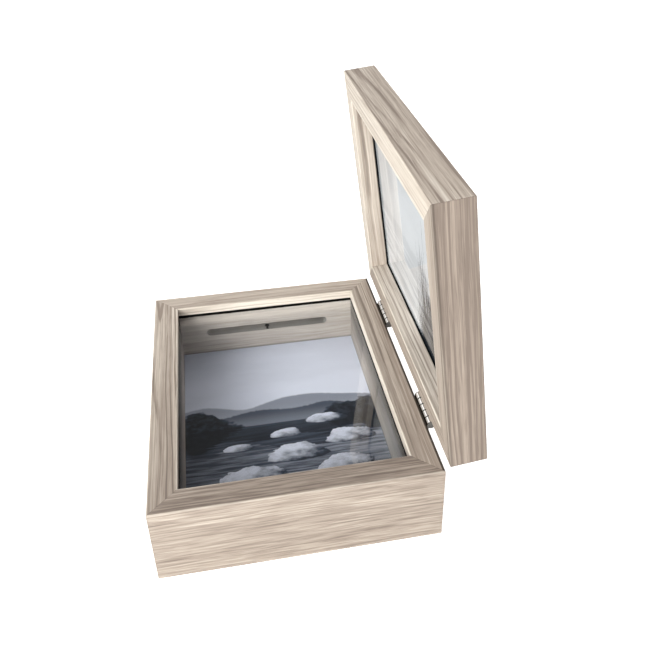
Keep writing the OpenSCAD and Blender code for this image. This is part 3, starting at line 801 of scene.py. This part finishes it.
def shore_print(name, origin, along, up, width, height):
    """A pale black and white shore: fog over still water, a faint bank and reeds in the near corner."""
    graph, close = new_material(name)
    place, x, level = print_place(graph, origin, along, up, height)
    fog = graph.noise(place, (0.010, 0.03, 0), 4.0, 0.55)
    tone = graph.ease(level, 0.3, 1.0, 0.80, 0.70)
    tone = graph.math("MULTIPLY", tone, graph.ease(x, 115, 160, 1.0, 0.86))
    tone = graph.nudge(fog, 0.20, tone)
    shore = graph.noise(graph.join(x, 5.0, 0.0), (0.03, 1, 1), 3.0, 0.6)
    top = graph.nudge(shore, 0.16, 0.46)
    land = graph.ease(graph.math("SUBTRACT", top, level), -0.004, 0.012)
    tone = graph.mix(graph.math("MULTIPLY", land, 0.25), tone, (0.42, 0.43, 0.45, 1))
    ripples = graph.noise(place, (0.02, 0.22, 0), 4.0, 0.6)
    tone = graph.mix(graph.ease(level, 0.40, 0.385), tone, graph.ease(ripples, 0.3, 0.7, 0.60, 0.86))
    blades = graph.noise(place, (0.55, 0.020, 0), 3.0, 0.62)
    beyond = graph.math("MAXIMUM", graph.math("SUBTRACT", x, reed_bed_end), 0.0)
    reach = graph.math("SUBTRACT", graph.ease(x, 0.0, reed_bed_end, 0.26, 0.52), level)
    reach = graph.math("MULTIPLY_ADD", beyond, -0.020, reach)
    spread = graph.math("MULTIPLY", graph.math("SUBTRACT", blades, 0.5), 1.6)
    reeds = graph.ease(graph.math("ADD", spread, reach), 0.10, 0.17)
    tone = graph.mix(graph.ease(level, 0.11, 0.05), tone, (0.95, 0.95, 0.95, 1))
    tone = graph.mix(reeds, tone, graph.ease(blades, 0.35, 0.70, 0.0, 0.16))
    # Painted shadow: a black border under the lip, for the shade in the gap there
    tone = graph.mix(1.0, tone, painted_shadow_border(graph, place, width, height), "MULTIPLY")
    return print_paper(graph, close, tone, place, shore_tones)


def pale_floor(name):
    """A pale paper sweep, evened out for the camera and darker in what the panes mirror."""
    graph, close = new_material(name)
    mirror_dimming, camera_glow = 0.62, 0.60
    mottle = graph.noise(graph.use(model_place)["Place"], (0.02, 0.02, 0.02), 3.0, 0.5)
    colour = graph.ramp(mottle, (0.3, (0.90, 0.90, 0.895)), (0.7, (0.93, 0.93, 0.925)))
    path = graph.node("LightPath").outputs
    colour = graph.mix(graph.math("MULTIPLY", path["Is Glossy Ray"], mirror_dimming), colour,
                       (0.02, 0.02, 0.02, 1))
    glow = graph.math("MULTIPLY", path["Is Camera Ray"], camera_glow)
    return close(Base_Color=colour, Roughness=0.85, Specular_IOR_Level=0.1, Emission_Color=(1, 1, 1, 1),
                 Emission_Strength=glow)


def give(material, *names):
    """Puts one material on every slot of these nodes."""
    for name in names:
        for slot in nodes[name].material_slots:
            slot.material = material


def dress_rails():
    """Each rail by its side, seed and looks. No two have the same grain."""
    base, lid = base_sides, lid_sides
    rails = {
        "base_front": (base["front"], 1.0, dict(
            outer=(0.0, 1.1), front=(-0.16, 1.2), reveal=(0.0, 1.0), rings=0.16, bands=0.08, dashes=0.30,
            lines=0.26, waves=0.5, wear_and_highlight=0.7)),
        "base_slot": (base["far"], 2.0, dict(
            front=(0.20, 0.8), reveal=(0.40, 0.6), rings=0.36, dashes=0.12, lines=0.3, slotted=True)),
        "base_free": (base["free"], 9.0, dict(
            front=(0.22, 1.0), reveal=(-0.2, 0.8), rings=0.75, dashes=0.12, lines=0.3, waves=0.35,
            painted_light_fade=0.12, wear_and_highlight=0.9)),
        "base_hinge": (base["hinge"], 4.0, dict(
            front=(0.16, 1.0), reveal=(0.55, 0.6), rings=0.66, dashes=0.10, lines=0.3, waves=0.45,
            painted_light_fade=0.12, wear_and_highlight=1.0, edge=1.0)),
        "lid_front": (lid["front"], 5.0, dict(
            outer=(-0.24, 1.0), front=(0.10, 0.6), rings=0.65, bands=0.26, dashes=0.10, lines=0.3,
            waves=0.5, wear_and_highlight=0.4, edge=0.5, shadow_line_trim=0.2)),
        "lid_back": (lid["far"], 6.0, dict(
            front=(0.42, 0.5), reveal=(0.24, 1.0), rings=0.55, dashes=0.10, lines=0.3, waves=0.5,
            shadow_line_trim=0.2)),
        "lid_top": (lid["free"], 7.0, dict(
            outer=(0.26, 1.0), front=(0.42, 0.5), rings=0.66, bands=0.20, dashes=0.10, lines=0.3,
            waves=0.40, shadow_line_trim=0.2)),
        "lid_hinge": (lid["hinge"], 8.0, dict(
            front=(0.10, 0.8), reveal=(0.42, 1.0), rings=0.50, dashes=0.12, lines=0.3, waves=0.5,
            wear_and_highlight=1.0, shadow_line_trim=0.2)),
    }
    for name, (side, seed, looks) in rails.items():
        give(oak_rail("oak_" + name, side, seed, **looks), name + "_rail")


def dress_inside():
    # shaded sets each lining's painted shade under the lip; the tone raise is partly painted light
    linings = {
        "front": (base_sides["front"], 11.0, dict(shaded=0.5)),
        "slot": (base_sides["far"], 12.0, dict(tone_and_light_lift=0.16, shaded=0.0, contrast=0.8, slotted=True)),
        "free": (base_sides["free"], 13.0, dict(tone_and_light_lift=-0.10, shaded=0.95)),
        "hinge": (base_sides["hinge"], 14.0, dict(shaded=0.85)),
    }
    for name, (side, seed, looks) in linings.items():
        give(oak_lining("oak_lining_" + name, side, seed, **looks), "base_lining_" + name)
    give(clear_glass("float_glass"), "base_glass", "lid_glass")
    size = print_high - print_low
    corner = Vector((print_low.x, print_low.y, print_high.z))
    give(lake_print("lake_print", corner, AXIS_X, AXIS_Y, size.x, size.y), "base_print")
    lid_corner = opened_lid_point((print_high.x, print_low.y, lid_back_z))
    lid_up = -(lid_turn @ AXIS_X)
    give(shore_print("shore_print", lid_corner, AXIS_Y, lid_up, size.y, size.x), "lid_print")


def dress_hardware():
    clips_per_board = 4
    give(hardboard("hardboard"), "base_board", "lid_board")
    nickel = plated_steel("nickel", (0.74, 0.72, 0.69), (0.93, 0.91, 0.88), 0.12, 0.26, 0.3,
                          knuckles=True)
    give(nickel, "base_leaf_near", "base_leaf_far", "lid_leaf_near", "lid_leaf_far", "hinge_pin_near",
         "hinge_pin_far", "base_leaf_screws", "lid_leaf_screws")
    zinc = plated_steel("zinc_plate", (0.42, 0.44, 0.47), (0.70, 0.72, 0.74), 0.28, 0.50, 0.7, (1, 0, 0))
    give(zinc, "base_rivets", "lid_rivets", "base_corner_nails", "lid_corner_nails",
         *[f"{half}_clip_{number}" for half in ("base", "lid") for number in range(1, clips_per_board + 1)])


# Stage

def make_floor():
    floor_radius = 8
    mesh = bpy.data.meshes.new("floor")
    shape = bmesh.new()
    bmesh.ops.create_circle(shape, cap_ends=True, segments=96, radius=floor_radius)
    shape.to_mesh(mesh)
    shape.free()
    floor = bpy.data.objects.new("floor", mesh)
    bpy.context.scene.collection.objects.link(floor)
    floor.data.materials.append(pale_floor("pale_floor"))
    floor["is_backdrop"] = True


def make_softbox(name, place, target, width, height, power, colour):
    data = bpy.data.lights.new(name, "AREA")
    data.shape = "RECTANGLE"
    data.size, data.size_y = width, height
    data.energy = power
    data.color = colour
    light = bpy.data.objects.new(name, data)
    bpy.context.scene.collection.objects.link(light)
    aim = (Vector(target) - Vector(place)).to_track_quat("-Z", "Y")
    light.matrix_world = Matrix.Translation(Vector(place)) @ aim.to_matrix().to_4x4()


def make_world():
    """A white studio. The base's glass mirrors a dim screen behind the box, and the hinge knuckles
    mirror a bright strip at the left of that screen."""
    studio_light, screen_light, strip_light = 0.70, 0.11, 0.9
    world = bpy.data.worlds.new("studio")
    world.use_nodes = True
    graph = Graph(world.node_tree)
    x, y, z = graph.parts(graph.node("TexCoord").outputs["Generated"])
    behind = graph.math("MULTIPLY", graph.ease(y, 0.35, 0.65), graph.ease(z, 0.30, 0.50))
    screen = graph.math("MULTIPLY", graph.ease(x, -0.32, -0.12), graph.ease(x, 0.55, 0.30))
    strength = graph.ease(graph.math("MULTIPLY", behind, screen), 0.0, 1.0, studio_light, screen_light)
    strip = graph.math("MULTIPLY", graph.ease(x, -0.75, -0.55), graph.ease(x, -0.25, -0.42))
    strength = graph.math("MULTIPLY_ADD", graph.math("MULTIPLY", behind, strip), strip_light, strength)
    graph.feed(world.node_tree.nodes["Background"].inputs["Color"], (1.0, 0.983, 0.972, 1))
    graph.feed(world.node_tree.nodes["Background"].inputs["Strength"], strength)
    bpy.context.scene.world = world


def make_light():
    centre = Vector((0, 0, 0.08))
    make_softbox("key_front_left", (-0.72, -0.85, 0.42), centre, 0.8, 0.7, 20.5, (0.985, 1.0, 0.972))
    make_softbox("fill_back_right", (1.0, 0.55, 0.42), centre, 0.9, 0.7, 11.0, (1.0, 0.99, 0.975))
    bpy.context.scene.view_settings.view_transform = "Standard"


make_camera()
dress_rails()
dress_inside()
dress_hardware()
make_floor()
make_world()
make_light()

boxes = {"cad": cad_bounds, "visual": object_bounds()}
{name: [list(corner) for corner in box] for name, box in boxes.items()}
